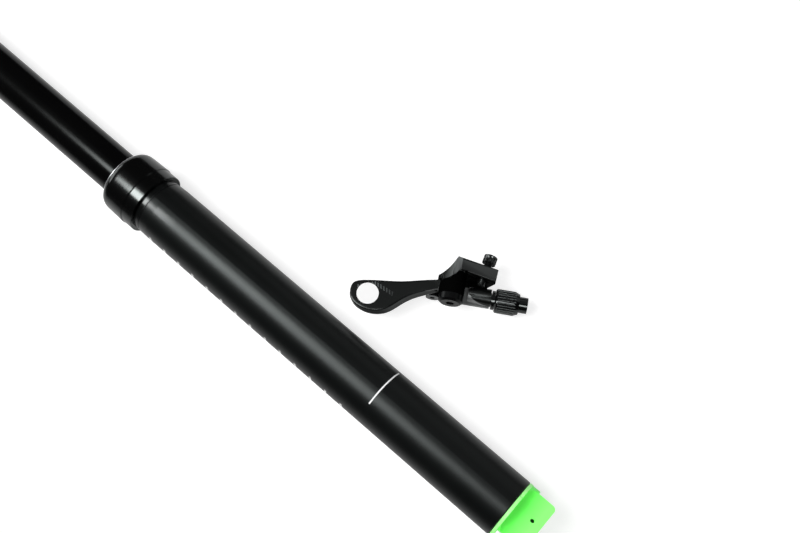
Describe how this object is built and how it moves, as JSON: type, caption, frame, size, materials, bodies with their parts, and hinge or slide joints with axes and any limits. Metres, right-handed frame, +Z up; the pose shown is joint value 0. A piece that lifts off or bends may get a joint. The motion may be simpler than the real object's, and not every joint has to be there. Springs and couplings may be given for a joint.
{
  "type": "dropper seatpost",
  "caption": "Telescoping bicycle seatpost lying on its side, with sealing collar, green transport cap, rail clamp head and a thumb remote beside it.",
  "frame": {"origin": "on the lower tube's axis at the minimum-insertion line", "axes": "+X along the post towards its lower end, +Z up from the table it lies on, +Y towards the remote"},
  "size_m": [0.4717, 0.1281, 0.0352],
  "materials": {
    "tube_black": "matte black anodised",
    "collar_black": "satin black anodised",
    "stanchion_black": "gloss black anodised",
    "seal_rubber": "matte rubber",
    "bush_polymer": "grey bearing polymer",
    "brass_fittings": "turned brass",
    "bare_alloy": "bare turned aluminium",
    "steel_fittings": "bright steel",
    "black_steel": "black oxide steel",
    "actuator_black": "black anodised",
    "head_black": "satin black anodised",
    "cap_green": "translucent green moulding",
    "remote_black": "satin black anodised",
    "adjuster_black": "gloss black anodised"
  },
  "bodies": {
    "outer_tube": {"lower_tube": "tube_black", "seal_collar": "collar_black", "wiper_seal": "seal_rubber", "upper_bushing": "bush_polymer", "foot_plug": "bare_alloy", "bump_ring": "seal_rubber", "cartridge_rod": "steel_fittings", "cartridge_piston": "seal_rubber", "rod_nut": "steel_fittings", "actuator_bracket": "actuator_black", "actuator_pin": "steel_fittings"},
    "upper_post": {"stanchion": "stanchion_black", "lower_bushing": "bush_polymer", "key_pins": "brass_fittings", "cartridge_cylinder": "bare_alloy", "cartridge_seal_head": "seal_rubber", "cartridge_retainer": "steel_fittings", "cartridge_top_cap": "bare_alloy", "saddle_head": "head_black"},
    "saddle_clamp": {"rail_cradle_left": "head_black", "rail_cradle_right": "head_black", "rail_clamp_left": "head_black", "rail_clamp_right": "head_black", "clamp_bolt": "steel_fittings", "clamp_nut": "steel_fittings"},
    "actuator": {"actuator_lever": "steel_fittings", "cable_barrel": "brass_fittings"},
    "valve_pin": {"release_pin": "steel_fittings"},
    "cap": {"transport_cap": "cap_green"},
    "remote_mount": {"remote_body": "remote_black", "remote_mount_bolt": "black_steel", "remote_pivot_bolt": "black_steel"},
    "remote_lever": {"remote_paddle": "remote_black", "remote_bearing": "brass_fittings", "cable_anchor": "black_steel"},
    "adjuster": {"barrel_adjuster": "adjuster_black", "adjuster_lock_ring": "adjuster_black", "adjuster_ferrule": "adjuster_black"}
  },
  "joints": [
    {"name": "post_drop", "type": "slide", "parent": "outer_tube", "child": "upper_post", "axis": [1, 0, 0], "range_m": [0, 0.15]},
    {"name": "saddle_tilt", "type": "hinge", "parent": "upper_post", "child": "saddle_clamp", "pos_m": [-0.3582, 0, 0], "axis": [0, 1, 0], "range_deg": [-8, 8]},
    {"name": "actuator_rock", "type": "hinge", "parent": "outer_tube", "child": "actuator", "pos_m": [0.084, 0, -0.003], "axis": [0, -1, 0], "range_deg": [0, 22]},
    {"name": "release_push", "type": "slide", "parent": "outer_tube", "child": "valve_pin", "axis": [-1, 0, 0], "range_m": [0, 0.00115], "stiffness_N_per_m": 600, "springref_m": -0.001},
    {"name": "cap_pull", "type": "slide", "parent": "outer_tube", "child": "cap", "axis": [1, 0, 0], "range_m": [0, 0.04]},
    {"name": "remote_move", "type": "slide", "parent": "outer_tube", "child": "remote_mount", "axis": [0, 1, 0], "range_m": [0, 0.06]},
    {"name": "paddle_swing", "type": "hinge", "parent": "remote_mount", "child": "remote_lever", "pos_m": [-0.01009, 0.06564, -0.00355], "axis": [-0.515, 0.8572, 0], "range_deg": [0, 20], "stiffness_Nm_per_rad": 0.05, "springref_deg": -11.46},
    {"name": "adjuster_turn", "type": "hinge", "parent": "remote_mount", "child": "adjuster", "pos_m": [0.01355, 0.08066, -0.01095], "axis": [0.8572, 0.515, 0], "continuous": true}
  ],
  "couplings": [
    {"joint": "actuator_rock", "follows": "release_push", "rad_per_m": 333.33}
  ]
}
